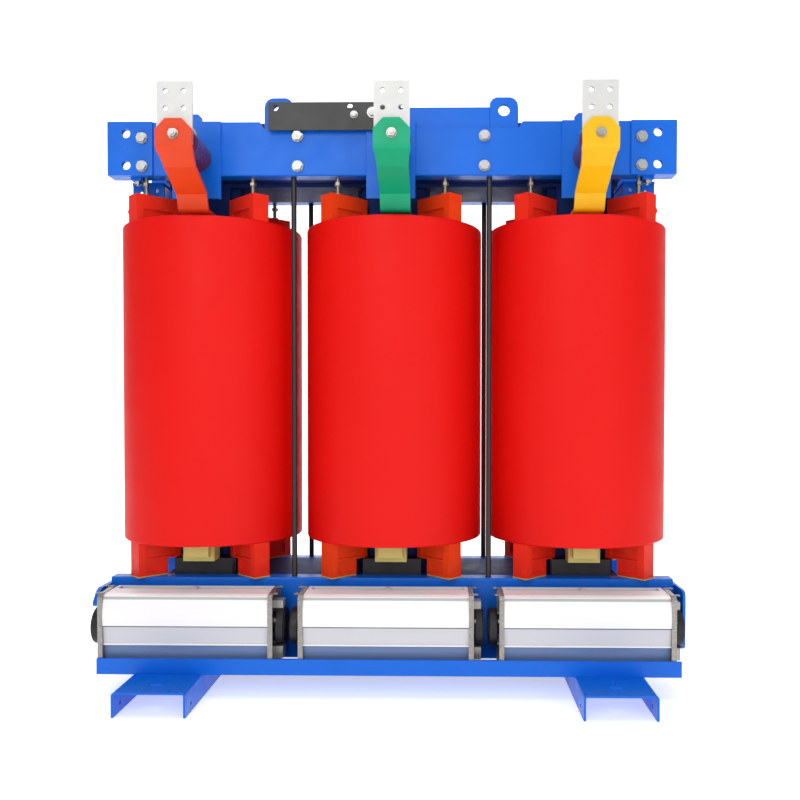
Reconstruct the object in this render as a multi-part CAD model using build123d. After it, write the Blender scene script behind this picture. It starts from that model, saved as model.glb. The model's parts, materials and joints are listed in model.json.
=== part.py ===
from build123d import *
import math
import os

# Three-phase cast-resin dry-type distribution transformer: core-and-coil unit with cooling fans.
# Millimetres. +Z up, +X along the row of coils, low-voltage side and fans towards -Y.
# Origin: centre of the footprint on the floor, under the middle limb.

# ---- driving dimensions -------------------------------------------------
PITCH = 575.0                        # limb to limb
COIL_R, HV_RI = 275.0, 216.0         # high-voltage winding, outer and inner radius
COIL_Z0, COIL_Z1 = 420.0, 1377.0
LV_RO, LV_RI = 186.0, 132.0          # low-voltage foil winding
LV_Z0, LV_Z1 = 412.0, 1391.0
LIMB = [(147.0, 183.0), (195.0, 131.0), (225.0, 68.0)]  # stepped limb section in a 235 circle
YOKE_HX = 687.0                      # half length of the yokes
YOKE_HY = 91.5
YL0, YL1 = 122.0, 316.0              # lower yoke
YU0, YU1 = 1500.0, 1695.0            # upper yoke
CL_HX = 839.0                        # half length of the clamps
CL_Y, CL_T, CL_IN = 185.0, 8.0, 137.0  # clamp web face, thickness, flange tip
UC_Z0, UC_Z1, UC_ZM = 1510.0, 1668.0, 1649.0
LC_Z0, LC_Z1 = 140.0, 316.0
APRON_HX, APRON_Z = 520.0, 76.0      # lower clamp web carried down between the feet
THRU_X, LOW_X = 276.0, 420.0         # through bolts of the upper and lower clamps
UB_Z, LB_Z = (1537.0, 1625.0), (180.0, 262.0)
END_X, END_BOLT_X, END_HOLE_X = 706.0, 736.0, 784.0
END_BOLT_Z, END_HOLE_Z = (1536.0, 1619.0), (1540.0, 1633.0)
LUG_X, LUG_Z, LUG_R = 334.0, 1703.0, 17.0
ROD_X, ROD_Y, ROD_R = 292.0, 160.0, 8.0
JACK_D = 160.0                       # jack bolt offset from a coil's axis, along X and Y
PAD_T, PAD_RO, PAD_RI = 52.0, 270.0, 134.0
PAD_TOP, PAD_SHIM = 1455.0, 3.0
FOOT_X, FOOT_W, FOOT_H, FOOT_T, FOOT_HY = 626.5, 199.0, 68.0, 6.0, 474.0
INS_Z, INS_Y = 1560.0, -193.0        # post insulator axis and seat
BAR_Y, BAR_T = -410.0, 10.0          # upright end of a busbar, centre plane and thickness
TERM_Y0, TERM_Y1 = -405.0, -397.0
BAR_DX = {"a": 4.0, "b": 16.0, "c": 1.0}  # busbar centre from its coil's axis
NB_Y0, NB_Y1 = -205.0, -197.0        # neutral bar
BOSS_Y = 322.0                       # high-voltage terminal faces
FAN_C = (-576.0, -6.0, 564.0)
FAN_HX, TRAY = 235.0, 14.0           # half length of a fan casing, depth of its end trays
FAN_Y, FAN_Z, IMP_R = -254.0, 192.0, 40.0
SHAFT_R, BORE_R = 5.0, 5.05
RAIL_Y, RAIL_HX, RAIL_Z = -327.0, 826.0, 113.0
PX = {"a": -PITCH, "b": 0.0, "c": PITCH}

os.makedirs("parts", exist_ok=True)
nodes = {}


def put(name, *solids):
    flat = []
    for s in solids:
        flat += list(s.solids())
    nodes[name] = Compound(children=flat) if len(flat) > 1 else flat[0]


def bx(x0, x1, y0, y1, z0, z1):
    return Pos((x0 + x1) / 2, (y0 + y1) / 2, (z0 + z1) / 2) * Box(abs(x1 - x0), abs(y1 - y0), abs(z1 - z0))


def cz(x, y, z0, z1, r):
    return Pos(x, y, (z0 + z1) / 2) * Cylinder(r, z1 - z0)


def cy(x, z, y0, y1, r):
    return Pos(x, (y0 + y1) / 2, z) * Rot(90, 0, 0) * Cylinder(r, abs(y1 - y0))


def cx(y, z, x0, x1, r):
    return Pos((x0 + x1) / 2, y, z) * Rot(0, 90, 0) * Cylinder(r, abs(x1 - x0))


def hexprism(r_flat, h):
    return extrude(RegularPolygon(r_flat, 6, major_radius=False), h)


def yz(points, x0, x1):
    """A closed outline in the YZ plane, swept along X from x0 to x1."""
    face = make_face(Polyline([Vector(x0, p[0], p[1]) for p in points], close=True))
    return extrude(face, amount=x1 - x0, dir=(1, 0, 0))


def xz(points, y0, y1):
    """A closed outline in the XZ plane, swept along Y from y0 to y1."""
    face = make_face(Polyline([Vector(p[0], y0, p[1]) for p in points], close=True))
    return extrude(face, amount=y1 - y0, dir=(0, 1, 0))


def mirror_y(shape):
    return mirror(shape, about=Plane.XZ)


def bolt_y(x, z, y_head, y_nut, r, head=12.0, wash=16.0, sgn=-1):
    """Through bolt along Y. y_head: face under the head's washer, y_nut: face under the nut's washer."""
    s = 1 if y_nut > y_head else -1
    b = cy(x, z, y_head - s * 13, y_nut + s * 22, r)
    b += Pos(x, y_head, z) * Rot(90 * s, 0, 0) * (Pos(0, 0, 0) * Cylinder(wash, 4, align=(Align.CENTER, Align.CENTER, Align.MIN)))
    b += Pos(x, y_head - s * 4, z) * Rot(90 * s, 0, 0) * hexprism(head, 10)
    b += Pos(x, y_nut, z) * Rot(-90 * s, 0, 0) * (Pos(0, 0, 0) * Cylinder(wash, 4, align=(Align.CENTER, Align.CENTER, Align.MIN)))
    b += Pos(x, y_nut + s * 4, z) * Rot(-90 * s, 0, 0) * hexprism(head, 13)
    return b


def band(path, t):
    """Outline of a bar of thickness t whose centreline is a rounded polyline in YZ."""
    left, right = [], []
    n = len(path)
    for i, (y, z) in enumerate(path):
        if i == 0:
            d = (path[1][0] - y, path[1][1] - z)
        elif i == n - 1:
            d = (y - path[-2][0], z - path[-2][1])
        else:
            a = (y - path[i - 1][0], z - path[i - 1][1])
            b = (path[i + 1][0] - y, path[i + 1][1] - z)
            la, lb = math.hypot(*a), math.hypot(*b)
            d = (a[0] / la + b[0] / lb, a[1] / la + b[1] / lb)
        L = math.hypot(*d)
        nx, nz = -d[1] / L, d[0] / L
        k = t / 2
        if 0 < i < n - 1:
            k = t / 2 / max(0.5, (nx * -a[1] / la + nz * a[0] / la))
        left.append((y + nx * k, z + nz * k))
        right.append((y - nx * k, z - nz * k))
    return left + right[::-1]


def rounded(path, r, steps=6):
    out = [path[0]]
    for i in range(1, len(path) - 1):
        p0, p1, p2 = path[i - 1], path[i], path[i + 1]
        a = (p0[0] - p1[0], p0[1] - p1[1])
        b = (p2[0] - p1[0], p2[1] - p1[1])
        la, lb = math.hypot(*a), math.hypot(*b)
        ua, ub = (a[0] / la, a[1] / la), (b[0] / lb, b[1] / lb)
        ang = math.acos(max(-1, min(1, ua[0] * ub[0] + ua[1] * ub[1])))
        t = min(r / math.tan(ang / 2), la * 0.49, lb * 0.49)
        rr = t * math.tan(ang / 2)
        bis = (ua[0] + ub[0], ua[1] + ub[1])
        lbis = math.hypot(*bis)
        c = (p1[0] + bis[0] / lbis * rr / math.sin(ang / 2), p1[1] + bis[1] / lbis * rr / math.sin(ang / 2))
        s = (p1[0] + ua[0] * t, p1[1] + ua[1] * t)
        e = (p1[0] + ub[0] * t, p1[1] + ub[1] * t)
        a0 = math.atan2(s[1] - c[1], s[0] - c[0])
        a1 = math.atan2(e[1] - c[1], e[0] - c[0])
        da = (a1 - a0 + math.pi) % (2 * math.pi) - math.pi
        for k in range(steps + 1):
            q = a0 + da * k / steps
            out.append((c[0] + rr * math.cos(q), c[1] + rr * math.sin(q)))
    out.append(path[-1])
    return out



# ---- core ---------------------------------------------------------------
for p, x in PX.items():
    s = None
    for w, d in LIMB:
        b = bx(x - w / 2, x + w / 2, -d / 2, d / 2, YL1, YU0)
        s = b if s is None else s + b
    put(f"core_limb_{p}", s)


def yoke(z0, z1, bolt_z, bolt_x):
    y = bx(-YOKE_HX, YOKE_HX, -YOKE_HY, YOKE_HY, z0, z1)
    for sx in (-1, 1):
        for z in bolt_z:
            y -= cy(sx * bolt_x, z, -YOKE_HY - 1, YOKE_HY + 1, 10)
    return y


put("core_lower_yoke", yoke(YL0, YL1, LB_Z, LOW_X))
put("core_upper_yoke", yoke(YU0, YU1, UB_Z, THRU_X))

# pressboard packing between the yokes and the clamps
strips = []
for z0, z1, bz, bxx in ((LC_Z0, LC_Z1, LB_Z, LOW_X), (UC_Z0, UC_Z1 - 8, UB_Z, THRU_X)):
    for s in (-1, 1):
        y0, y1 = sorted((s * YOKE_HY, s * CL_IN))
        b = bx(-YOKE_HX, YOKE_HX, y0, y1, z0, z1)
        for sx in (-1, 1):
            for z in bz:
                b -= cy(sx * bxx, z, y0 - 1, y1 + 1, 10)
        strips.append(b)
put("yoke_packing", *strips)


# ---- clamps -------------------------------------------------------------
def rod_holes(c, z0, z1):
    for sx in (-1, 1):
        c -= cz(sx * ROD_X, -ROD_Y, z0 - 1, z1 + 1, ROD_R + 1.5)
    return c


def thru_holes(c, zs, y0, y1, x=THRU_X):
    for sx in (-1, 1):
        for z in zs:
            c -= cy(sx * x, z, y0, y1, 10)
    return c


def upper_clamp(front):
    m = 388.0
    web = xz([(-CL_HX, UC_Z0), (CL_HX, UC_Z0), (CL_HX, UC_Z1), (m, UC_Z1), (m - 12, UC_ZM), (12 - m, UC_ZM), (-m, UC_Z1), (-CL_HX, UC_Z1)], -CL_Y, -CL_Y + CL_T)
    c = web + bx(-CL_HX, CL_HX, -CL_Y + CL_T, -CL_IN, UC_Z0, UC_Z0 + CL_T)
    for s in (-1, 1):
        x0, x1 = sorted((s * m, s * CL_HX))
        c += bx(x0, x1, -CL_Y + CL_T, -CL_IN, UC_Z1 - CL_T, UC_Z1)
    c = fillet([e for e in c.edges().filter_by(Axis.X) if abs(e.center().Y + CL_Y) < 0.1 and (e.center().Z < UC_Z0 + 1)], 5)
    c = thru_holes(c, UB_Z, -CL_Y - 1, -CL_Y + CL_T + 1)
    c = rod_holes(c, UC_Z0, UC_Z0 + CL_T)
    for sx in (-1, 1):
        for z in END_BOLT_Z:
            c -= cy(sx * END_BOLT_X, z, -CL_Y - 1, -CL_Y + CL_T + 1, 10)
        for z in END_HOLE_Z:
            c -= cy(sx * END_HOLE_X, z, -CL_Y - 1, -CL_Y + CL_T + 1, 14)
        for y in TIE_BOLT_Y:
            c -= cz(sx * TIE_BOLT_X, -y, UC_Z0 - 1, UC_Z0 + CL_T + 1, 7)
    for p, x in PX.items():
        for s in (-1, 1):
            c -= cz(x + s * JACK_D, -JACK_D, UC_Z0 - 1, UC_Z0 + CL_T + 1, 7)
        if front:
            c -= cy(x + BAR_DX[p], INS_Z, -CL_Y - 1, -CL_Y + CL_T + 1, 7)
    return c


TIE_BOLT_X, TIE_BOLT_Y = 762.0, (156.0,)
put("upper_clamp_front", upper_clamp(True))
put("upper_clamp_rear", mirror_y(upper_clamp(False)))


def lifting_plate(front):
    y0, y1 = -CL_Y + CL_T, -CL_Y + CL_T + 12
    c = bx(-292, 292, y0, y1, 1556, 1712)
    for s in (-1, 1):
        pts = [(s * 292, 1556), (s * 376, 1556), (s * 376, 1712), (s * 373, 1726), (s * 365, 1736), (s * 353, 1741), (s * 311, 1741), (s * 300, 1736), (s * 292, 1725)]
        c += xz(pts, y0, y1)
        c -= cy(s * LUG_X, LUG_Z, y0 - 1, y1 + 1, LUG_R)
    c = thru_holes(c, (UB_Z[1],), y0 - 1, y1 + 1)
    if front:
        for x, z in NB_BOLTS:
            c -= cy(x, z, y0 - 1, y1 + 1, 7)
        c -= cy(BAR_DX["b"], INS_Z, y0 - 1, y1 + 1, 14)
    return c


NB_BOLTS = ((-53.0, 1688.0), (-107.0, 1682.0))
put("lifting_plate_front", lifting_plate(True))
put("lifting_plate_rear", mirror_y(lifting_plate(False)))

ends = []
for sx in (-1, 1):
    for sy in (-1, 1):
        x0, x1 = sorted((sx * END_X, sx * CL_HX))
        y0, y1 = sorted((sy * CL_Y, sy * (CL_Y + 8)))
        e = bx(x0, x1, y0, y1, UC_Z0, UC_Z1)
        for z in END_BOLT_Z:
            e -= cy(sx * END_BOLT_X, z, y0 - 1, y1 + 1, 10)
        for z in END_HOLE_Z:
            e -= cy(sx * END_HOLE_X, z, y0 - 1, y1 + 1, 13)
        ends.append(e)
put("clamp_end_plates", *ends)


def lower_clamp():
    c = bx(-CL_HX, CL_HX, -CL_Y, -CL_Y + CL_T, LC_Z0, LC_Z1)
    for z in (LC_Z0, LC_Z1 - CL_T):
        c += bx(-CL_HX, CL_HX, -CL_Y + CL_T, -CL_IN, z, z + CL_T)
    c = fillet([e for e in c.edges().filter_by(Axis.X) if abs(e.center().Y + CL_Y) < 0.1 and e.center().Z > LC_Z1 - 1], 5)
    c += bx(-APRON_HX, APRON_HX, -CL_Y, -CL_Y + CL_T, APRON_Z, LC_Z0)
    c = thru_holes(c, LB_Z, -CL_Y - 1, -CL_Y + CL_T + 1, LOW_X)
    c = rod_holes(c, LC_Z1 - CL_T, LC_Z1)
    for sx in (-1, 1):
        c -= cz(sx * FOOT_X, -161, LC_Z0 - 1, LC_Z0 + CL_T + 1, 9)
    return c


put("lower_clamp_front", lower_clamp())
put("lower_clamp_rear", mirror_y(lower_clamp()))

# trays joining the front and rear upper clamps beyond the ends of the yoke
ties = []
for s in (-1, 1):
    x0, x1 = sorted((s * 700.0, s * 795.0))
    xt0, xt1 = sorted((s * 746.0, s * 778.0))
    t = bx(x0, x1, -112, 112, UC_Z0 - 8, UC_Z0) + bx(xt0, xt1, -172, 172, UC_Z0 - 8, UC_Z0)
    for sy in (-1, 1):
        y0, y1 = sorted((sy * 100.0, sy * 108.0))
        t += bx(x0, x1, y0, y1, 1465, UC_Z0 - 8)
        for y in TIE_BOLT_Y:
            t -= cz(s * TIE_BOLT_X, sy * y, UC_Z0 - 10, UC_Z0 + 1, 7)
        for hx, hz in ((722.0, 1486.0), (770.0, 1480.0)):
            t -= cy(s * hx, hz, y0 - 1, y1 + 1, 6)
    ties.append(t)
put("end_ties", *ties)

# ---- tie rods and clamp bolts -------------------------------------------
rods = []
for sx in (-1, 1):
    for sy in (-1, 1):
        x, y = sx * ROD_X, sy * ROD_Y
        r = cz(x, y, LC_Z1 - CL_T - 14, UC_Z0 + CL_T + 9, ROD_R)
        r += Pos(x, y, LC_Z1 - CL_T - 11) * hexprism(12, 11)
        r += Pos(x, y, UC_Z0 + CL_T) * hexprism(12, 8)
        rods.append(r)
put("tie_rods", *rods)
bolts = []
for sx in (-1, 1):
    for X, z, wt, ht in [(THRU_X, z, 4, 12) for z in UB_Z] + [(LOW_X, z, 3, 7) for z in LB_Z]:
        b = cy(sx * X, z, -CL_Y - 3, CL_Y + 3, 9)
        for s in (-1, 1):
            f = -90 * s
            b += Pos(sx * X, s * CL_Y, z) * Rot(f, 0, 0) * Cylinder(17, wt, align=(Align.CENTER, Align.CENTER, Align.MIN))
            b += Pos(sx * X, s * (CL_Y + wt), z) * Rot(f, 0, 0) * hexprism(12.5, ht)
        bolts.append(b)
    for z in END_BOLT_Z:
        for s in (-1, 1):
            bolts.append(bolt_y(sx * END_BOLT_X, z, s * (CL_Y + 8), s * (CL_Y - CL_T), 9, 12.5, 17))
    for sy in (-1, 1):
        for y in TIE_BOLT_Y:
            x = sx * TIE_BOLT_X
            b = cz(x, sy * y, UC_Z0 - 22, UC_Z0 + CL_T + 9, 6)
            b += Pos(x, sy * y, UC_Z0 - 17) * hexprism(9.5, 9)
            b += Pos(x, sy * y, UC_Z0 + CL_T) * hexprism(9.5, 7)
            bolts.append(b)
put("clamp_bolts", *bolts)


# ---- base ---------------------------------------------------------------
def foot(xc):
    o = Pos(xc, 0, FOOT_H / 2) * Box(FOOT_W, 2 * FOOT_HY, FOOT_H)
    o = fillet([e for e in o.edges().filter_by(Axis.Y) if e.center().Z > FOOT_H - 1], 10)
    i = Pos(xc, 0, (FOOT_H - FOOT_T) / 2 - 5) * Box(FOOT_W - 2 * FOOT_T, 2 * FOOT_HY + 2, FOOT_H - FOOT_T + 10)
    i = fillet([e for e in i.edges().filter_by(Axis.Y) if e.center().Z > FOOT_H - FOOT_T - 1], 4)
    f = o - i
    for sy in (-1, 1):
        f -= cz(xc, sy * 372, FOOT_H - 20, FOOT_H + 5, 7)
        f -= Pos(xc, sy * 412, FOOT_H) * extrude(SlotOverall(40, 16), 20, both=True)
        f -= cz(xc, sy * 161, FOOT_H - 20, FOOT_H + 5, 9)
        f -= cx(sy * 425, 24, xc - FOOT_W, xc + FOOT_W, 6)
    return f


put("foot_left", foot(-FOOT_X))
put("foot_right", foot(FOOT_X))
saddles, base_bolts = [], []
for sx in (-1, 1):
    xc = sx * FOOT_X
    s = bx(xc - 62, xc + 62, -CL_Y, CL_Y, FOOT_H, FOOT_H + 10)
    for sy in (-1, 1):
        y0, y1 = sorted((sy * CL_IN, sy * CL_Y))
        s += bx(xc - 62, xc + 62, y0, y1, FOOT_H + 10, LC_Z0) - bx(xc - 54, xc + 54, y0 - 1, y1 + 1, FOOT_H + 10, LC_Z0 - 8)
        s -= cz(xc, sy * 161, FOOT_H - 1, LC_Z0 + 1, 9)
        y = sy * 161.0
        b = cz(xc, y, FOOT_H - FOOT_T - 14, FOOT_H + 24, 8)
        b += Pos(xc, y, FOOT_H - FOOT_T - 10) * hexprism(12, 10)
        b += Pos(xc, y, FOOT_H + 10) * hexprism(12, 10)
        base_bolts.append(b)
        b = cz(xc, y, LC_Z0 - 8 - 14, LC_Z0 + CL_T + 15, 8)
        b += Pos(xc, y, LC_Z0 - 18) * hexprism(12, 10)
        b += Pos(xc, y, LC_Z0 + CL_T) * hexprism(12, 10)
        base_bolts.append(b)
    saddles.append(s)
put("saddles", *saddles)
put("base_bolts", *base_bolts)


# ---- windings -----------------------------------------------------------
def tube(x, z0, z1, ro, ri, f):
    o = cz(x, 0, z0, z1, ro)
    o = fillet(o.edges().filter_by(GeomType.CIRCLE), f)
    return o - cz(x, 0, z0 - 1, z1 + 1, ri)


TAPS = [(22 if i % 2 else -22, 830 + i * 42) for i in range(6)]
for p, x in PX.items():
    hv = tube(x, COIL_Z0, COIL_Z1, COIL_R, HV_RI, 6)
    panel = bx(x - 70, x + 70, 240, 303, 540, 1270)
    panel = fillet([e for e in panel.edges() if e.center().Y > 302], 10)
    hv += panel
    for z in (580.0, 1230.0):
        hv += cy(x, z, 300, BOSS_Y, 26)
    for dx, z in TAPS:
        hv += cy(x + dx, z, 300, 312, 13)
    put(f"hv_coil_{p}", hv)
    put(f"lv_coil_{p}", tube(x, LV_Z0, LV_Z1, LV_RO, LV_RI, 3))
put("tap_links", *[bx(x - 34, x + 34, 312, 316, 956 - 7, 956 + 7 + 42) for x in PX.values()])


# ---- coil supports ------------------------------------------------------
def pad(upper):
    """Cast block lying on a radius, built along +X from the coil's axis, then turned."""
    if upper:
        pts = [(PAD_RO, COIL_Z1), (201, COIL_Z1), (201, LV_Z1), (PAD_RI, LV_Z1), (PAD_RI, PAD_TOP), (PAD_RO, PAD_TOP)]
    else:
        zb = LC_Z1 + PAD_SHIM
        pts = [(PAD_RO, zb), (177, zb), (177, 365), (PAD_RI, 365), (PAD_RI, LV_Z0), (201, LV_Z0), (201, COIL_Z0), (PAD_RO, COIL_Z0)]
    b = xz(pts, -PAD_T / 2, PAD_T / 2)
    for s in (-1, 1):
        y0, y1 = sorted((s * (PAD_T / 2 + 1), s * (PAD_T / 2 - 6)))
        if upper:
            b -= xz([(152, 1400), (204, 1395), (204, 1384), (246, 1384), (246, 1414), (152, 1414)], y0, y1)
        else:
            b -= xz([(152, 371), (246, 371), (246, 410), (206, 410), (206, 400), (152, 400)], y0, y1)
            b -= xz([(186, 330), (246, 330), (246, 364), (186, 364)], y0, y1)
    return b


def ring_of(shape, x, boss_z=None):
    """Four blocks round a coil; only those at the two ends of the row carry a boss, on the outward side."""
    out = []
    for a, side in ((45, -1), (135, 1), (225, -1), (315, 1)):
        b = shape
        if boss_z and x * math.cos(math.radians(a)) > 1:
            b = b + cy(256, boss_z, side * (PAD_T / 2 - 1), side * (PAD_T / 2 + 11), 12)
        out.append(Pos(x, 0, 0) * Rot(0, 0, a) * b)
    return out


up, lo, sh = pad(True), pad(False), bx(179, PAD_RO + 2, -PAD_T / 2 - 1, PAD_T / 2 + 1, LC_Z1, LC_Z1 + PAD_SHIM)
put("upper_support_blocks", *[s for x in PX.values() for s in ring_of(up, x, 1410.0)])
put("lower_support_blocks", *[s for x in PX.values() for s in ring_of(lo, x)])
put("support_shims", *[s for x in PX.values() for s in ring_of(sh, x)])
black, fr4 = [], []
for x in PX.values():
    for s in (-1, 1):
        y0, y1 = sorted((s * YOKE_HY, s * CL_IN))
        black.append(bx(x - 88, x + 88, y0, y1, LC_Z1, 364) + bx(x - 47, x + 47, s * YOKE_HY, s * 128.0, 364, 392))
        g = bx(x - 47, x + 47, s * 128.0, s * 187.0, 364, LV_Z0) + bx(x - 47, x + 47, s * 93.0, s * 128.0, 392, LV_Z0)
        fr4.append(g + bx(x - 36, x + 36, s * 187.0, s * 211.0, 380, 440))
put("yoke_spacers", *black)
put("winding_end_blocks", *fr4)
jacks = []
for x in PX.values():
    for sx in (-1, 1):
        for sy in (-1, 1):
            X, Y = x + sx * JACK_D, sy * JACK_D
            j = cz(X, Y, PAD_TOP, UC_Z0 + CL_T, 6)
            j += Pos(X, Y, UC_Z0 - 24) * hexprism(9.5, 9)
            j += cz(X, Y, PAD_TOP, PAD_TOP + 7, 13)
            jacks.append(j)
put("jack_bolts", *jacks)

# ---- low-voltage busbars, terminals and post insulators ------------------
BAR_PATH = [(BAR_Y, 1602.0), (BAR_Y, 1528.0), (-358.0, 1490.0), (-254.0, 1442.0), (-232.0, 1396.0), (-150.0, 1396.0)]
for p, x in PX.items():
    x += BAR_DX[p]
    bar = yz(band(rounded(BAR_PATH, 12), BAR_T), x - 50, x + 50)
    for s in (-1, 1):
        bar -= xz([(x + s * 22, 1603), (x + s * 51, 1603), (x + s * 51, 1572)], BAR_Y - 8, BAR_Y + 8)
        bar -= xz([(x + s * 51, 1540), (x + s * 44, 1490), (x + s * 44, 1380), (x + s * 51, 1380)], -400, -100)
    bar -= cy(x, INS_Z, BAR_Y - 8, BAR_Y + 8, 7)
    put(f"lv_bar_{p}", bar)
terms, plates, posts, bus_bolts = [], [], [], []
for p, xc in PX.items():
    x = xc + BAR_DX[p]
    t = bx(x - 48.5, x + 48.5, TERM_Y0, TERM_Y1, 1536, 1704)
    for dx in (-24.5, 24.5):
        for z in (1632, 1678):
            t -= cy(x + dx, z, TERM_Y0 - 1, TERM_Y1 + 1, 7)
    t -= cy(x, INS_Z, TERM_Y0 - 1, TERM_Y1 + 1, 7)
    terms.append(t)
    q = bx(xc - 72, xc + 72, INS_Y, -CL_Y, 1441, UC_Z1)
    q += xz([(xc - 36, UC_Z1 - 1), (xc + 17, UC_Z1 - 1), (xc + 17, 1678), (xc + 6, 1689), (xc - 25, 1689), (xc - 36, 1678)], INS_Y, -CL_Y)
    q -= cy(x, INS_Z, INS_Y - 1, -CL_Y + 1, 7)
    plates.append(q)
    L = INS_Y - TERM_Y1
    prof = [(0, 0), (41, 0), (41, L * 0.35), (44, L * 0.6), (50, L - 42), (48, L - 24), (40, L - 9), (32, L), (0, L)]
    post = revolve(make_face(Polyline([Vector(a, 0, b) for a, b in prof], close=True)), Axis.Z)
    post -= cz(0, 0, -1, 30, 6.2)
    post -= cz(0, 0, L - 32, L + 1, 6.2)
    posts.append(Pos(x, INS_Y, INS_Z) * Rot(90, 0, 0) * post)
    b = cy(x, INS_Z, BAR_Y - BAR_T / 2 - 16, TERM_Y1 + 28, 6)
    b += Pos(x, BAR_Y - BAR_T / 2, INS_Z) * Rot(90, 0, 0) * Cylinder(14, 3, align=(Align.CENTER, Align.CENTER, Align.MIN))
    b += Pos(x, BAR_Y - BAR_T / 2 - 3, INS_Z) * Rot(90, 0, 0) * hexprism(10, 10)
    bus_bolts.append(b)
    b = cy(x, INS_Z, INS_Y - 26, -CL_Y + CL_T + 12, 6)
    b += Pos(x, -CL_Y + CL_T, INS_Z) * Rot(-90, 0, 0) * hexprism(10, 9)
    bus_bolts.append(b)
put("lv_terminals", *terms)
put("insulator_plates", *plates)
put("post_insulators", *posts)
put("busbar_bolts", *bus_bolts)

# ---- neutral bar --------------------------------------------------------
nb = bx(-359, 30, NB_Y0, NB_Y1, 1638, 1719)
for hx, hz, hr in ((-338, 1703, 9), (-119, 1708, 8), (-53, 1688, 7), (-107, 1682, 7)):
    nb -= cy(hx, hz, NB_Y0 - 1, NB_Y1 + 1, hr)
put("neutral_bar", nb)
nbolts = []
for (hx, hz), wr, hr in zip(NB_BOLTS, (16, 11), (10, 7.5)):
    back = -CL_Y + CL_T
    b = cy(hx, hz, NB_Y0 - 12, back + 24, 6)
    b += cy(hx, hz, NB_Y0 - 3, NB_Y0, wr) + cy(hx, hz, NB_Y1, back, 11.5)
    b += Pos(hx, NB_Y0 - 3, hz) * Rot(90, 0, 0) * hexprism(hr, 8)
    b += Pos(hx, back + 12, hz) * Rot(-90, 0, 0) * hexprism(9.5, 9)
    nbolts.append(b)
put("neutral_bolts", *nbolts)


# ---- high-voltage delta leads -------------------------------------------
def lead(points, r):
    path = FilletPolyline(*points, radius=30)
    return sweep(Plane(origin=path @ 0, z_dir=path % 0) * Circle(r), path=path)


leads = []
for a, b, d, zt in (("a", "b", 50.0, 1600.0), ("b", "c", 50.0, 1600.0), ("c", "a", 92.0, 1630.0)):
    y, xd = BOSS_Y + d, PX[b] - 110.0
    leads.append(lead([(PX[a], BOSS_Y, 1230), (PX[a], y, 1230), (PX[a], y, zt), (xd, y, zt), (xd, y, 580), (PX[b], y, 580), (PX[b], BOSS_Y, 580)], 9))
put("delta_leads", *leads)

# ---- fan rail and brackets ----------------------------------------------
put("fan_rail", yz([(RAIL_Y, FOOT_H), (-190, FOOT_H), (-190, FOOT_H + 5), (RAIL_Y + 5, FOOT_H + 5), (RAIL_Y + 5, RAIL_Z), (RAIL_Y, RAIL_Z)], -RAIL_HX, RAIL_HX))
put("fan_bracket_left", yz([(-137, 150), (-192, 150), (-194, 252), (-286, 252), (-290, 262), (-262, 292), (-246, 298), (-137, 298)], -CL_HX - 13, -CL_HX))
rb = yz([(-137, 128), (-270, 128), (-270, 300), (-137, 300)], CL_HX + 5, CL_HX + 13) + bx(CL_HX, CL_HX + 5, -180, -140, 150, 300)
put("fan_bracket_right", fillet([e for e in rb.edges().filter_by(Axis.X) if e.center().Y < -260], 22))

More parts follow.
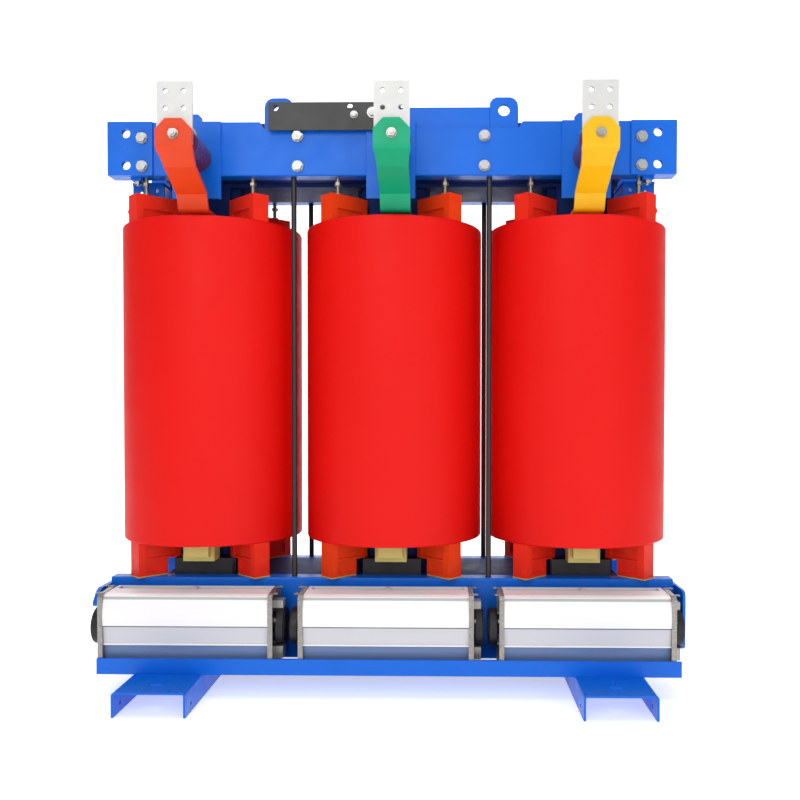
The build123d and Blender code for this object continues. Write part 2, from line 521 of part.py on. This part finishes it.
# ---- cross-flow fans ----------------------------------------------------
SKIN = [(-239, 292), (-298, 290.5), (-308, 286), (-311.5, 278), (-316.5, 262), (-319, 240), (-319, 222), (-317.5, 202.5), (-313.5, 200), (-310, 152), (-303, 147), (-299, 116), (-292, 78)]
BACK = [(-199, 293), (-199, 130), (-208, 104)]
Z0 = FOOT_H + 5
TRAY_OUT = [(-321.5, Z0), (-321.5, 284), (-312, 292.5), (-240, 296.5), (-206, 294), (-196, 284), (-196, Z0)]
TRAY_IN = [(-319.5, Z0 + 2), (-319.5, 283.2), (-311.2, 290.4), (-240, 294.4), (-207, 292), (-198, 283.2), (-198, Z0 + 2)]
trays, motors, bearings = [], [], []
for i, xc in enumerate(FAN_C, 1):
    x0, x1 = xc - FAN_HX, xc + FAN_HX
    h = yz(band(SKIN, 3), x0, x1) + yz(band(BACK, 3), x0, x1)
    h += yz([(-315.5, 148.5), (-305, 148.5), (-305, 151.5), (-315.5, 151.5)], x0, x1)
    for a, b in ((x0, x0 + 12), (xc - 6, xc + 6), (x1 - 12, x1)):
        h += yz([(-243, 290.6), (-197.5, 290.6), (-197.5, 293), (-243, 293)], a, b)
    put(f"fan_housing_{i}", h)
    for s, xe in ((-1, x0), (1, x1)):
        o = yz(TRAY_OUT, min(xe, xe + s * TRAY), max(xe, xe + s * TRAY))
        o -= yz(TRAY_IN, min(xe + s * 2, xe + s * (TRAY + 1)), max(xe + s * 2, xe + s * (TRAY + 1)))
        trays.append(o - cx(FAN_Y, FAN_Z, xe - 20, xe + 20, 13))
    m = cx(FAN_Y, FAN_Z, x1 + 17, x1 + 41, 54)
    m = fillet(m.edges().filter_by(GeomType.CIRCLE), 4)
    m += cx(FAN_Y, FAN_Z, x1 + 2, x1 + 18, 22)
    for k in range(3):
        a = math.radians(90 + 120 * k)
        m += cx(FAN_Y + 38 * math.cos(a), FAN_Z + 38 * math.sin(a), x1 + 2, x1 + 20, 5)
    m += bx(x1 + 4, x1 + 36, FAN_Y - 20, FAN_Y + 16, FAN_Z + 46, FAN_Z + 76)
    m += bx(x1 + 4, x1 + 36, FAN_Y - 26, FAN_Y + 20, FAN_Z - 90, FAN_Z - 50)
    motors.append(m - cx(FAN_Y, FAN_Z, x1 + 1, x1 + 26, BORE_R))
    g = cx(FAN_Y, FAN_Z, x0 - 41, x0 - 17, 54)
    g = fillet(g.edges().filter_by(GeomType.CIRCLE), 4)
    g += cx(FAN_Y, FAN_Z, x0 - 18, x0 - 2, 22)
    bearings.append(g - cx(FAN_Y, FAN_Z, x0 - 26, x0 - 1, BORE_R))
    b0, b1 = x0 + 9, x1 - 9
    w = cx(FAN_Y, FAN_Z, b0, b0 + 3, IMP_R) + cx(FAN_Y, FAN_Z, b1 - 3, b1, IMP_R) + cx(FAN_Y, FAN_Z, xc - 1.5, xc + 1.5, IMP_R)
    for k in range(18):
        a = 2 * math.pi * k / 18
        q = [(FAN_Y + r * math.cos(a + d), FAN_Z + r * math.sin(a + d)) for r, d in ((IMP_R - 0.4, 0.0), (IMP_R - 0.4, 0.06), (31, 0.26), (31, 0.19))]
        w += yz(q, b0 + 1, b1 - 1)
    w += cx(FAN_Y, FAN_Z, x0 - 22, b0 + 1, SHAFT_R) + cx(FAN_Y, FAN_Z, b1 - 1, x1 + 22, SHAFT_R)
    w += cx(FAN_Y, FAN_Z, b0 - 5, b0 + 1, 11) + cx(FAN_Y, FAN_Z, b1 - 1, b1 + 5, 11)
    put(f"impeller_{i}", w)
put("fan_end_trays", *trays)
put("fan_motors", *motors)
put("fan_bearings", *bearings)

# ---- write --------------------------------------------------------------
for name, shape in nodes.items():
    export_step(shape, f"parts/{name}.step")
print(len(nodes), "nodes")
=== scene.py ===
import bpy, bmesh, json, math
from mathutils import Matrix, Vector


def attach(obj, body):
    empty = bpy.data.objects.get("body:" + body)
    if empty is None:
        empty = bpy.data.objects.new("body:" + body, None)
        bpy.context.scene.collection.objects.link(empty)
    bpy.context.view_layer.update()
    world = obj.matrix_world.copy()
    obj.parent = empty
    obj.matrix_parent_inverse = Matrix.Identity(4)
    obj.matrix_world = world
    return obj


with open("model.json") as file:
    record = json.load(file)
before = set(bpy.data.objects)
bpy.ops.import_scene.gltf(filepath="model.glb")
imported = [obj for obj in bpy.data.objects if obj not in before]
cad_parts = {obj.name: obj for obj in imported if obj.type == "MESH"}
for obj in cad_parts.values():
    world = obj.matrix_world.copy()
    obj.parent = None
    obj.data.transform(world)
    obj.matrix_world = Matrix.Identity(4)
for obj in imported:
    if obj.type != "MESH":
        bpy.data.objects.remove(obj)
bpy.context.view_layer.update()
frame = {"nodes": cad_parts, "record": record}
NODES = frame["nodes"]
BODY = "transformer"


# ---- materials ----------------------------------------------------------
def lin(r, g, b):
    def f(c):
        c /= 255.0
        return c / 12.92 if c <= 0.04045 else ((c + 0.055) / 1.055) ** 2.4
    return (f(r), f(g), f(b), 1.0)


class Mat:
    """A node material in object space: mottled colour, varied roughness and a fine bump."""

    def __init__(self, name, rgb, rough, metal=0.0, coat=0.0, coat_rough=0.08, spec=0.5, ior=1.5,
                 var=0.12, var_scale=6.0, rvar=0.08, rscale=14.0, bump=0.1, bscale=120.0, bdist=0.0008, stretch=(1, 1, 1), wave=None):
        self.m = bpy.data.materials.new(name)
        self.m.use_nodes = True
        self.nt = self.m.node_tree
        self.nt.nodes.clear()
        n, l = self.nt.nodes, self.nt.links
        out = n.new("ShaderNodeOutputMaterial")
        self.b = b = n.new("ShaderNodeBsdfPrincipled")
        l.new(b.outputs[0], out.inputs[0])
        b.inputs["Metallic"].default_value = metal
        b.inputs["IOR"].default_value = ior
        b.inputs["Specular IOR Level"].default_value = spec
        b.inputs["Coat Weight"].default_value = coat
        b.inputs["Coat Roughness"].default_value = coat_rough
        tc = n.new("ShaderNodeTexCoord")
        mp = n.new("ShaderNodeMapping")
        mp.inputs["Scale"].default_value = stretch
        l.new(tc.outputs["Object"], mp.inputs["Vector"])
        self.obj, self.vec = tc.outputs["Object"], mp.outputs[0]
        # colour
        f = self.noise(var_scale, 5)
        self.col = self.mix(f, tuple(c * (1 - var) for c in rgb[:3]), tuple(min(1, c * (1 + var)) for c in rgb[:3]))
        l.new(self.col, b.inputs["Base Color"])
        # roughness
        r = self.rng(self.noise(rscale, 4), 0.3, 0.7, max(0.02, rough - rvar), min(1, rough + rvar))
        l.new(r, b.inputs["Roughness"])
        self.r = r
        # bump
        h = self.noise(bscale, 3)
        bp = n.new("ShaderNodeBump")
        bp.inputs["Strength"].default_value = bump
        bp.inputs["Distance"].default_value = bdist
        l.new(h, bp.inputs["Height"])
        last = bp
        if wave:
            sc, st, ds = wave
            w = self.noise(sc, 2)
            bw = n.new("ShaderNodeBump")
            bw.inputs["Strength"].default_value = st
            bw.inputs["Distance"].default_value = ds
            l.new(w, bw.inputs["Height"])
            l.new(bp.outputs[0], bw.inputs["Normal"])
            last = bw
        l.new(last.outputs[0], b.inputs["Normal"])
        self.last = last

    def noise(self, scale, detail, vec=None):
        t = self.nt.nodes.new("ShaderNodeTexNoise")
        t.inputs["Scale"].default_value = scale
        t.inputs["Detail"].default_value = detail
        self.nt.links.new(vec or self.vec, t.inputs["Vector"])
        return t.outputs[0]

    def rng(self, v, a, b, c, d):
        m = self.nt.nodes.new("ShaderNodeMapRange")
        for i, x in enumerate((a, b, c, d), 1):
            m.inputs[i].default_value = x
        self.nt.links.new(v, m.inputs[0])
        return m.outputs[0]

    def mix(self, f, a, b):
        m = self.nt.nodes.new("ShaderNodeMix")
        m.data_type = "RGBA"
        for s, v in ((6, a), (7, b)):
            if isinstance(v, tuple):
                m.inputs[s].default_value = tuple(v[:3]) + (1.0,)
            else:
                self.nt.links.new(v, m.inputs[s])
        self.nt.links.new(f, m.inputs[0])
        return m.outputs[2]

    def axis(self, i):
        s = self.nt.nodes.new("ShaderNodeSeparateXYZ")
        self.nt.links.new(self.obj, s.inputs[0])
        return s.outputs[i]

    def math(self, op, a, b=0.0):
        m = self.nt.nodes.new("ShaderNodeMath")
        m.operation = op
        for i, v in enumerate((a, b)):
            if isinstance(v, (int, float)):
                m.inputs[i].default_value = v
            else:
                self.nt.links.new(v, m.inputs[i])
        return m.outputs[0]

    def recolour(self, fac, rgb):
        """Where fac is 1 the colour is rgb, still mottled."""
        c = self.mix(fac, self.col, rgb)
        self.nt.links.new(c, self.b.inputs["Base Color"])
        self.col = c
        return self

    def metalness(self, fac):
        self.nt.links.new(fac, self.b.inputs["Metallic"])

    def lines(self, axis, pitch, strength, dist, duty=0.5):
        """Parallel sheet edges along an axis, as bump."""
        a = self.axis(axis)
        k = self.math("FRACT", self.math("MULTIPLY", a, 1.0 / pitch))
        h = self.rng(self.math("ABSOLUTE", self.math("SUBTRACT", k, 0.5)), 0.36, 0.5, 0.0, 1.0)
        bp = self.nt.nodes.new("ShaderNodeBump")
        bp.invert = True
        bp.inputs["Strength"].default_value = strength
        bp.inputs["Distance"].default_value = dist
        self.nt.links.new(h, bp.inputs["Height"])
        self.nt.links.new(self.last.outputs[0], bp.inputs["Normal"])
        self.nt.links.new(bp.outputs[0], self.b.inputs["Normal"])
        self.last = bp
        return self


coil = Mat("coil_epoxy", lin(229, 15, 8), 0.50, spec=0.20, var=0.05, var_scale=3.0, rvar=0.05, bump=0.10, bscale=260, bdist=0.0004, wave=(5.5, 0.25, 0.004))
edge = coil.rng(coil.noise(2.2, 5), 0.45, 0.75, 0.0, 0.18)
coil.recolour(edge, lin(208, 10, 6))
pad = Mat("pad_resin", lin(238, 42, 20), 0.48, spec=0.25, var=0.10, var_scale=9, bump=0.25, bscale=190, bdist=0.0006)
inner = pad.rng(pad.math("ABSOLUTE", pad.axis(0)), 0.284, 0.286, 1.0, 0.0)
pad.recolour(inner, lin(236, 62, 10))
worn = pad.rng(pad.noise(24, 6), 0.58, 0.72, 0.0, 0.35)
pad.recolour(worn, lin(240, 84, 30))
blue = Mat("enamel_blue", lin(0, 104, 218), 0.36, spec=0.28, coat=0.04, coat_rough=0.15, var=0.08, var_scale=5, rvar=0.09, rscale=22, bump=0.18, bscale=85, bdist=0.0009, wave=(13, 0.30, 0.0022))
scuff = blue.rng(blue.noise(60, 8), 0.66, 0.74, 0.0, 0.25)
blue.recolour(scuff, lin(20, 122, 230))
core = Mat("core_varnish", lin(16, 44, 112), 0.58, spec=0.22, var=0.25, var_scale=8, bump=0.1, bscale=150).lines(1, 0.0034, 0.45, 0.0006)
rust = core.rng(core.noise(11, 6), 0.62, 0.75, 0.0, 0.5)
core.recolour(rust, lin(44, 40, 48))
zinc = Mat("zinc_plate", lin(176, 176, 174), 0.34, metal=1.0, var=0.06, var_scale=70, rvar=0.10, rscale=120, bump=0.12, bscale=600, bdist=0.0003)
brassy = Mat("yellow_zinc", lin(168, 160, 140), 0.34, metal=1.0, var=0.20, var_scale=60, rvar=0.10, rscale=90, bump=0.15, bscale=500, bdist=0.0003).lines(2, 0.0018, 0.5, 0.0005)
tinned = Mat("tinned_bar", lin(212, 212, 209), 0.50, metal=0.25, var=0.06, var_scale=40, rvar=0.08, rscale=60, bump=0.35, bscale=230, bdist=0.0007)
galv = Mat("galvanised", lin(168, 166, 160), 0.40, metal=0.85, var=0.16, var_scale=42, rvar=0.12, rscale=50, bump=0.12, bscale=300, bdist=0.0003)
spangle = galv.nt.nodes.new("ShaderNodeTexVoronoi")
spangle.inputs["Scale"].default_value = 150
galv.nt.links.new(galv.vec, spangle.inputs["Vector"])
galv.recolour(galv.rng(spangle.outputs[0], 0.1, 0.8, 0.0, 0.4), lin(120, 118, 116))
# fan housing: bare aluminium whose colour is set by height to stand for light on it; the near-white base is a
# painted reflection on the upper panel
alu = Mat("fan_aluminium_painted_reflections", lin(248, 248, 249), 0.38, metal=0.04, spec=0.35, var=0.025, var_scale=20, rvar=0.05, rscale=40, bump=0.10, bscale=240, bdist=0.0003, stretch=(0.12, 1, 1))
z = alu.axis(2)
# painted reflections: grey middle band below z 0.201, bluish lower band below z 0.147
alu.recolour(alu.rng(z, 0.2015, 0.2010, 0.0, 1.0), lin(208, 210, 215))
alu.recolour(alu.rng(z, 0.1475, 0.1470, 0.0, 1.0), lin(116, 140, 182))
# painted light lines: grey painted shade band just below the top edge, dark painted shade line at the upper fold,
# white painted highlight line at the lower fold
alu.recolour(alu.math("MULTIPLY", alu.rng(z, 0.2862, 0.2846, 0.0, 1.0), alu.rng(z, 0.2770, 0.2790, 0.0, 1.0)), lin(176, 182, 182))
alu.recolour(alu.math("MULTIPLY", alu.rng(z, 0.2038, 0.2032, 0.0, 1.0), alu.rng(z, 0.2000, 0.2006, 0.0, 1.0)), lin(70, 74, 80))
alu.recolour(alu.math("MULTIPLY", alu.rng(z, 0.1522, 0.1518, 0.0, 1.0), alu.rng(z, 0.1480, 0.1484, 0.0, 1.0)), lin(250, 250, 250))
wheel = Mat("wheel_aluminium", lin(170, 172, 176), 0.38, metal=0.9, var=0.1, var_scale=30, bump=0.1, bscale=200)
motor = Mat("motor_shell", lin(44, 44, 48), 0.42, metal=0.5, var=0.25, var_scale=50, bump=0.25, bscale=260, bdist=0.0005)
away = motor.math("ABSOLUTE", motor.math("SUBTRACT", motor.axis(2), 0.192))
motor.recolour(motor.rng(away, 0.0546, 0.0550, 0.0, 1.0), lin(176, 176, 172))
ins = Mat("post_maroon", lin(96, 18, 22), 0.30, coat=0.35, coat_rough=0.15, var=0.12, var_scale=16, bump=0.12, bscale=150, bdist=0.0005)
fr4 = Mat("glass_laminate", lin(196, 184, 104), 0.5, var=0.12, var_scale=20, bump=0.3, bscale=350, bdist=0.0004).lines(2, 0.0022, 0.3, 0.0003)
foil = Mat("winding_resin", lin(150, 146, 92), 0.5, var=0.18, var_scale=12, bump=0.3, bscale=160, bdist=0.0006)
board = Mat("black_block", lin(24, 24, 26), 0.55, var=0.2, var_scale=14, bump=0.25, bscale=180, bdist=0.0005)
press = Mat("pressboard", lin(150, 124, 84), 0.7, var=0.14, var_scale=18, bump=0.3, bscale=220).lines(1, 0.003, 0.4, 0.0004)
rodm = Mat("rod_sleeve", lin(40, 38, 42), 0.34, var=0.2, var_scale=12, bump=0.12, bscale=130, bdist=0.0006, stretch=(1, 1, 0.1))
bars = {}
for k, c in (("lv_bar_a", lin(222, 66, 18)), ("lv_bar_b", lin(2, 164, 116)), ("lv_bar_c", lin(238, 184, 12))):
    bars[k] = Mat("sleeve_" + k[-1], c, 0.40, spec=0.3, var=0.05, var_scale=10, rvar=0.06, bump=0.16, bscale=170, bdist=0.0006, wave=(28, 0.25, 0.0010))
nbar = Mat("sleeve_neutral", lin(62, 62, 62), 0.52, var=0.10, var_scale=30, bump=0.3, bscale=420, bdist=0.0004, wave=(24, 0.2, 0.0008))

FINISH = {"coil_red": coil, "pad_red": pad, "lv_resin": foil, "fr4": fr4, "board_black": board, "pressboard": press, "core_steel": core, "frame_blue": blue, "zinc": zinc,
          "rod_black": rodm, "bar_orange": bars["lv_bar_a"], "bar_green": bars["lv_bar_b"], "bar_yellow": bars["lv_bar_c"], "bar_black": nbar, "tinned": tinned,
          "maroon": ins, "fan_alu": alu, "galv": galv, "motor": motor, "wheel": wheel}
SLOT = {s["node"]: s["material_slot"] for s in frame["record"]["subparts"]}
BEVEL = {"frame_blue": 0.0011, "pad_red": 0.0018, "tinned": 0.0008, "fr4": 0.0010, "board_black": 0.001, "zinc": 0.0006, "galv": 0.0004}
for name, o in NODES.items():
    m = FINISH[SLOT[name]]
    if name == "jack_bolts":
        m = brassy
    o.data.materials.clear()
    o.data.materials.append(m.m)
    w = BEVEL.get(SLOT[name])
    if w:
        bv = o.modifiers.new("edge", "BEVEL")
        bv.width, bv.segments, bv.limit_method, bv.angle_limit = w, 2, "ANGLE", math.radians(40)
        bv.harden_normals = False


# ---- added pieces -------------------------------------------------------
def finish_mesh(name, bm, mat, body=BODY, smooth=35, bevel=0.0):
    me = bpy.data.meshes.new(name)
    bm.normal_update()
    bm.to_mesh(me)
    bm.free()
    o = bpy.data.objects.new(name, me)
    bpy.context.scene.collection.objects.link(o)
    me.materials.append(mat.m)
    for p in me.polygons:
        p.use_smooth = True
    me.set_sharp_from_angle(angle=math.radians(smooth))
    if bevel:
        b = o.modifiers.new("edge", "BEVEL")
        b.width, b.segments, b.limit_method = bevel, 2, "ANGLE"
    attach(o, body)
    return o


def lathe(bm, prof, at, axis, n=24):
    """Ring-by-ring turned form. prof: (radius, along) pairs in metres; closed at both ends."""
    axis = Vector(axis).normalized()
    u = axis.orthogonal().normalized()
    v = axis.cross(u)
    rings = []
    for r, h in prof:
        c = Vector(at) + axis * h
        rings.append([bm.verts.new(c + (u * math.cos(t) + v * math.sin(t)) * r) for t in (2 * math.pi * i / n for i in range(n))])
    for a, b in zip(rings, rings[1:]):
        for i in range(n):
            bm.faces.new((a[i], a[(i + 1) % n], b[(i + 1) % n], b[i]))
    bm.faces.new(rings[0][::-1])
    bm.faces.new(rings[-1])


def slab(bm, lo, hi):
    vs = [bm.verts.new((x, y, z)) for x in (lo[0], hi[0]) for y in (lo[1], hi[1]) for z in (lo[2], hi[2])]
    for f in ((0, 1, 3, 2), (4, 6, 7, 5), (0, 4, 5, 1), (2, 3, 7, 6), (0, 2, 6, 4), (1, 5, 7, 3)):
        bm.faces.new([vs[i] for i in f])


def screw(bm, at, axis, r=0.0035):
    lathe(bm, [(r * 0.5, -0.001), (r, -0.0006), (r, 0.0006), (r * 0.8, 0.0017), (r * 0.35, 0.0021), (r * 0.3, 0.0011)], at, axis, 16)


FAN_C = (-0.576, -0.006, 0.564)
bm = bmesh.new()
for xc in FAN_C:
    for s in (-1, 1):
        xf = xc + s * 0.242
        for zz in (0.088, 0.150, 0.202, 0.276):
            screw(bm, (xf, -0.3217, zz), (0, -1, 0), 0.0032)
        for yy, zz in ((-0.302, 0.100), (-0.212, 0.100), (-0.300, 0.266), (-0.214, 0.266)):
            screw(bm, (xc + s * 0.2372, yy, zz), (s, 0, 0), 0.0045)
finish_mesh("fan_tray_screws", bm, zinc)

# motor and bearing guards: ribbed rings with three arms
bm = bmesh.new()
for xc in FAN_C:
    for s in (-1, 1):
        x = xc + s * 0.2765
        c = Vector((x, -0.254, 0.192))
        for r0, r1 in ((0.045, 0.048), (0.032, 0.035), (0.012, 0.018)):
            n = 40
            q = [[bm.verts.new(c + Vector((s * h, r * math.cos(t), r * math.sin(t)))) for t in (2 * math.pi * i / n for i in range(n))]
                 for r, h in ((r0, -0.0015), (r0, 0.0008), (r1, 0.0008), (r1, -0.0015))]
            for a, b in zip(q, q[1:] + q[:1]):
                for i in range(n):
                    bm.faces.new((a[i], a[(i + 1) % n], b[(i + 1) % n], b[i]))
finish_mesh("fan_motor_ribs", bm, motor)
bm = bmesh.new()
for xc in FAN_C:
    for s in (-1, 1):
        xa, xb = sorted((xc + s * 0.2375, xc + s * 0.2515))
        for k in range(3):
            a = math.radians(90 + 120 * k + 60)
            p0 = Vector((0, -0.254 + 0.022 * math.cos(a), 0.192 + 0.022 * math.sin(a)))
            p1 = Vector((0, -0.254 + 0.050 * math.cos(a), 0.192 + 0.050 * math.sin(a)))
            t = Vector((0, -math.sin(a), math.cos(a))) * 0.007
            vs = [bm.verts.new(Vector((xx, 0, 0)) + p + sgn * t) for xx in (xb - 0.003, xb) for p in (p0, p1) for sgn in (-1, 1)]
            for f in ((0, 1, 3, 2), (4, 6, 7, 5), (0, 4, 5, 1), (2, 3, 7, 6), (0, 2, 6, 4), (1, 5, 7, 3)):
                bm.faces.new([vs[i] for i in f])
            lathe(bm, [(0.0055, xa), (0.0055, xb - 0.001), (0.0070, xb), (0.0070, xb + 0.003), (0.004, xb + 0.004)], (0, p1.y, p1.z), (1, 0, 0), 12)
bmesh.ops.recalc_face_normals(bm, faces=bm.faces)
finish_mesh("fan_motor_arms", bm, zinc, bevel=0.0006)

# tray corner lugs on top of each fan
bm = bmesh.new()
for xc in FAN_C:
    for s in (-1, 1):
        for yy, zz in ((-0.300, 0.2928), (-0.226, 0.2960)):
            a, b = sorted((xc + s * 0.236, xc + s * 0.262))
            slab(bm, (a, yy - 0.006, zz), (b, yy + 0.006, zz + 0.0022))
            screw(bm, (xc + s * 0.255, yy, zz + 0.0024), (0, 0, 1), 0.004)
bmesh.ops.recalc_face_normals(bm, faces=bm.faces)
finish_mesh("fan_tray_lugs", bm, galv, bevel=0.0005)

# weld beads where the end plates and lifting plates meet the clamps
def bead(bm, a, b, r, n=60):
    a, b = Vector(a), Vector(b)
    ax = (b - a).normalized()
    u = ax.orthogonal().normalized()
    v = ax.cross(u)
    rings = []
    for i in range(n + 1):
        c = a.lerp(b, i / n)
        rr = r * (0.78 + 0.22 * abs(math.sin(i * 1.9)) + 0.10 * math.sin(i * 0.7)) * (0.35 if i in (0, n) else 1)
        rings.append([bm.verts.new(c + (u * math.cos(t) + v * math.sin(t)) * rr) for t in (2 * math.pi * k / 8 for k in range(8))])
    for p, q in zip(rings, rings[1:]):
        for k in range(8):
            bm.faces.new((p[k], p[(k + 1) % 8], q[(k + 1) % 8], q[k]))
    bm.faces.new(rings[0][::-1])
    bm.faces.new(rings[-1])


bm = bmesh.new()
for sy in (-1, 1):
    for sx in (-1, 1):
        bead(bm, (sx * 0.7056, sy * 0.1856, 1.514), (sx * 0.7056, sy * 0.1856, 1.664), 0.0022)
        bead(bm, (sx * 0.30, sy * 0.1764, 1.6496), (sx * 0.372, sy * 0.1764, 1.6496), 0.0026, 40)
        bead(bm, (sx * 0.292, sy * 0.1770, 1.653), (sx * 0.292, sy * 0.1770, 1.710), 0.0016, 40)
        bead(bm, (sx * 0.8392, sy * 0.1842, 0.160), (sx * 0.8392, sy * 0.1842, 0.290), 0.0022)
for x in (-0.575, 0.0, 0.575):
    for s in (-1, 1):
        bead(bm, (x + s * 0.0724, -0.1856, 1.514), (x + s * 0.0724, -0.1856, 1.664), 0.0020)
finish_mesh("weld_beads", bm, blue, smooth=60)

# spring washers under the busbar bolts and the clamp bolts
bm = bmesh.new()
for x in (-0.571, 0.016, 0.576):
    lathe(bm, [(0.0090, 0), (0.0118, 0.0002), (0.0122, 0.0014), (0.0118, 0.0028), (0.0085, 0.0030)], (x, -0.4178, 1.560), (0, -1, 0), 28)
for sx in (-1, 1):
    for zz in (1.537, 1.625):
        lathe(bm, [(0.0125, 0), (0.0160, 0.0002), (0.0163, 0.0016), (0.0158, 0.0030), (0.0125, 0.0032)], (sx * 0.276, -0.1889, zz), (0, -1, 0), 28)
    for zz in (1.536, 1.619):
        lathe(bm, [(0.0125, 0), (0.0160, 0.0002), (0.0163, 0.0016), (0.0158, 0.0030), (0.0125, 0.0032)], (sx * 0.736, -0.1969, zz), (0, -1, 0), 28)
finish_mesh("spring_washers", bm, zinc)

# ---- stage, light and camera -------------------------------------------
sc = bpy.context.scene
sc.view_settings.view_transform = "Standard"
me = bpy.data.meshes.new("floor")
prof = [(-12.0, 0.0), (6.0, 0.0)] + [(6.0 + 4.0 * math.sin(a), 4.0 - 4.0 * math.cos(a)) for a in (math.pi / 2 * k / 24 for k in range(1, 25))] + [(10.0, 14.0)]
me.from_pydata([(x, y, z) for y, z in prof for x in (-14.0, 14.0)], [], [(2 * k, 2 * k + 1, 2 * k + 3, 2 * k + 2) for k in range(len(prof) - 1)])
for p in me.polygons:
    p.use_smooth = True
floor = bpy.data.objects.new("floor", me)
sc.collection.objects.link(floor)
fm = bpy.data.materials.new("floor")
fm.use_nodes = True
fm.node_tree.nodes["Principled BSDF"].inputs["Base Color"].default_value = (0.93, 0.93, 0.93, 1)
fm.node_tree.nodes["Principled BSDF"].inputs["Roughness"].default_value = 0.8
fm.node_tree.nodes["Principled BSDF"].inputs["Emission Color"].default_value = (1, 1, 1, 1)
fm.node_tree.nodes["Principled BSDF"].inputs["Emission Strength"].default_value = 0.50
me.materials.append(fm)

w = bpy.data.worlds.new("studio")
sc.world = w
w.use_nodes = True
wn, wl = w.node_tree.nodes, w.node_tree.links
bg = wn["Background"]
tc = wn.new("ShaderNodeTexCoord")
sp = wn.new("ShaderNodeSeparateXYZ")
wl.new(tc.outputs["Generated"], sp.inputs[0])
ramp = wn.new("ShaderNodeValToRGB")
mr = wn.new("ShaderNodeMapRange")
mr.inputs[1].default_value, mr.inputs[2].default_value = -1.0, 1.0
wl.new(sp.outputs[2], mr.inputs[0])
wl.new(mr.outputs[0], ramp.inputs[0])
ramp.color_ramp.elements[0].position, ramp.color_ramp.elements[0].color = 0.42, (0.22, 0.23, 0.25, 1)
ramp.color_ramp.elements[1].position, ramp.color_ramp.elements[1].color = 0.78, (0.80, 0.81, 0.83, 1)
wl.new(ramp.outputs[0], bg.inputs[0])
bg.inputs[1].default_value = 0.42
seen = wn.new("ShaderNodeBackground")
seen.inputs[0].default_value, seen.inputs[1].default_value = (1, 1, 1, 1), 1.0
lp = wn.new("ShaderNodeLightPath")
mx = wn.new("ShaderNodeMixShader")
wl.new(lp.outputs["Is Camera Ray"], mx.inputs[0])
wl.new(bg.outputs[0], mx.inputs[1])
wl.new(seen.outputs[0], mx.inputs[2])
wl.new(mx.outputs[0], wn["World Output"].inputs[0])


def area(name, loc, look, size, power, size_y=None):
    d = bpy.data.lights.new(name, "AREA")
    d.energy, d.size = power, size
    if size_y:
        d.shape, d.size_y = "RECTANGLE", size_y
    o = bpy.data.objects.new(name, d)
    o.location = loc
    o.rotation_euler = (Vector(look) - Vector(loc)).to_track_quat("-Z", "Y").to_euler()
    sc.collection.objects.link(o)


area("key", (-0.9, -4.4, 2.9), (0, 0, 0.9), 3.0, 72)
area("fill", (2.6, -4.0, 1.6), (0, 0, 0.8), 3.0, 34)
area("top", (0.0, -0.6, 4.2), (0, 0, 0.8), 3.2, 50)
area("floor_wash", (0.0, 3.6, 5.6), (0, 7.0, 0.6), 6.0, 420)

pi_, ya, ro = math.radians(1.192), math.radians(-0.8645), math.radians(0.0753)
fwd = Vector((math.sin(ya), math.cos(ya), 0))
right = Vector((math.cos(ya), -math.sin(ya), 0))
up = Vector((0, 0, 1))
fwd2 = fwd * math.cos(pi_) - up * math.sin(pi_)
up2 = up * math.cos(pi_) + fwd * math.sin(pi_)
right3 = right * math.cos(ro) + up2 * math.sin(ro)
up3 = up2 * math.cos(ro) - right * math.sin(ro)
cd = bpy.data.cameras.new("camera")
cd.sensor_width, cd.lens = 36.0, 37.07
cd.shift_x, cd.shift_y = -0.0387, 0.0265
cd.clip_start, cd.clip_end = 0.1, 100
cam = bpy.data.objects.new("camera", cd)
m = Matrix((right3, up3, -fwd2)).transposed().to_4x4()
m.translation = (0.1562, -2.6319, 0.8349)
cam.matrix_world = m
sc.collection.objects.link(cam)
sc.camera = cam

bpy.context.view_layer.update()
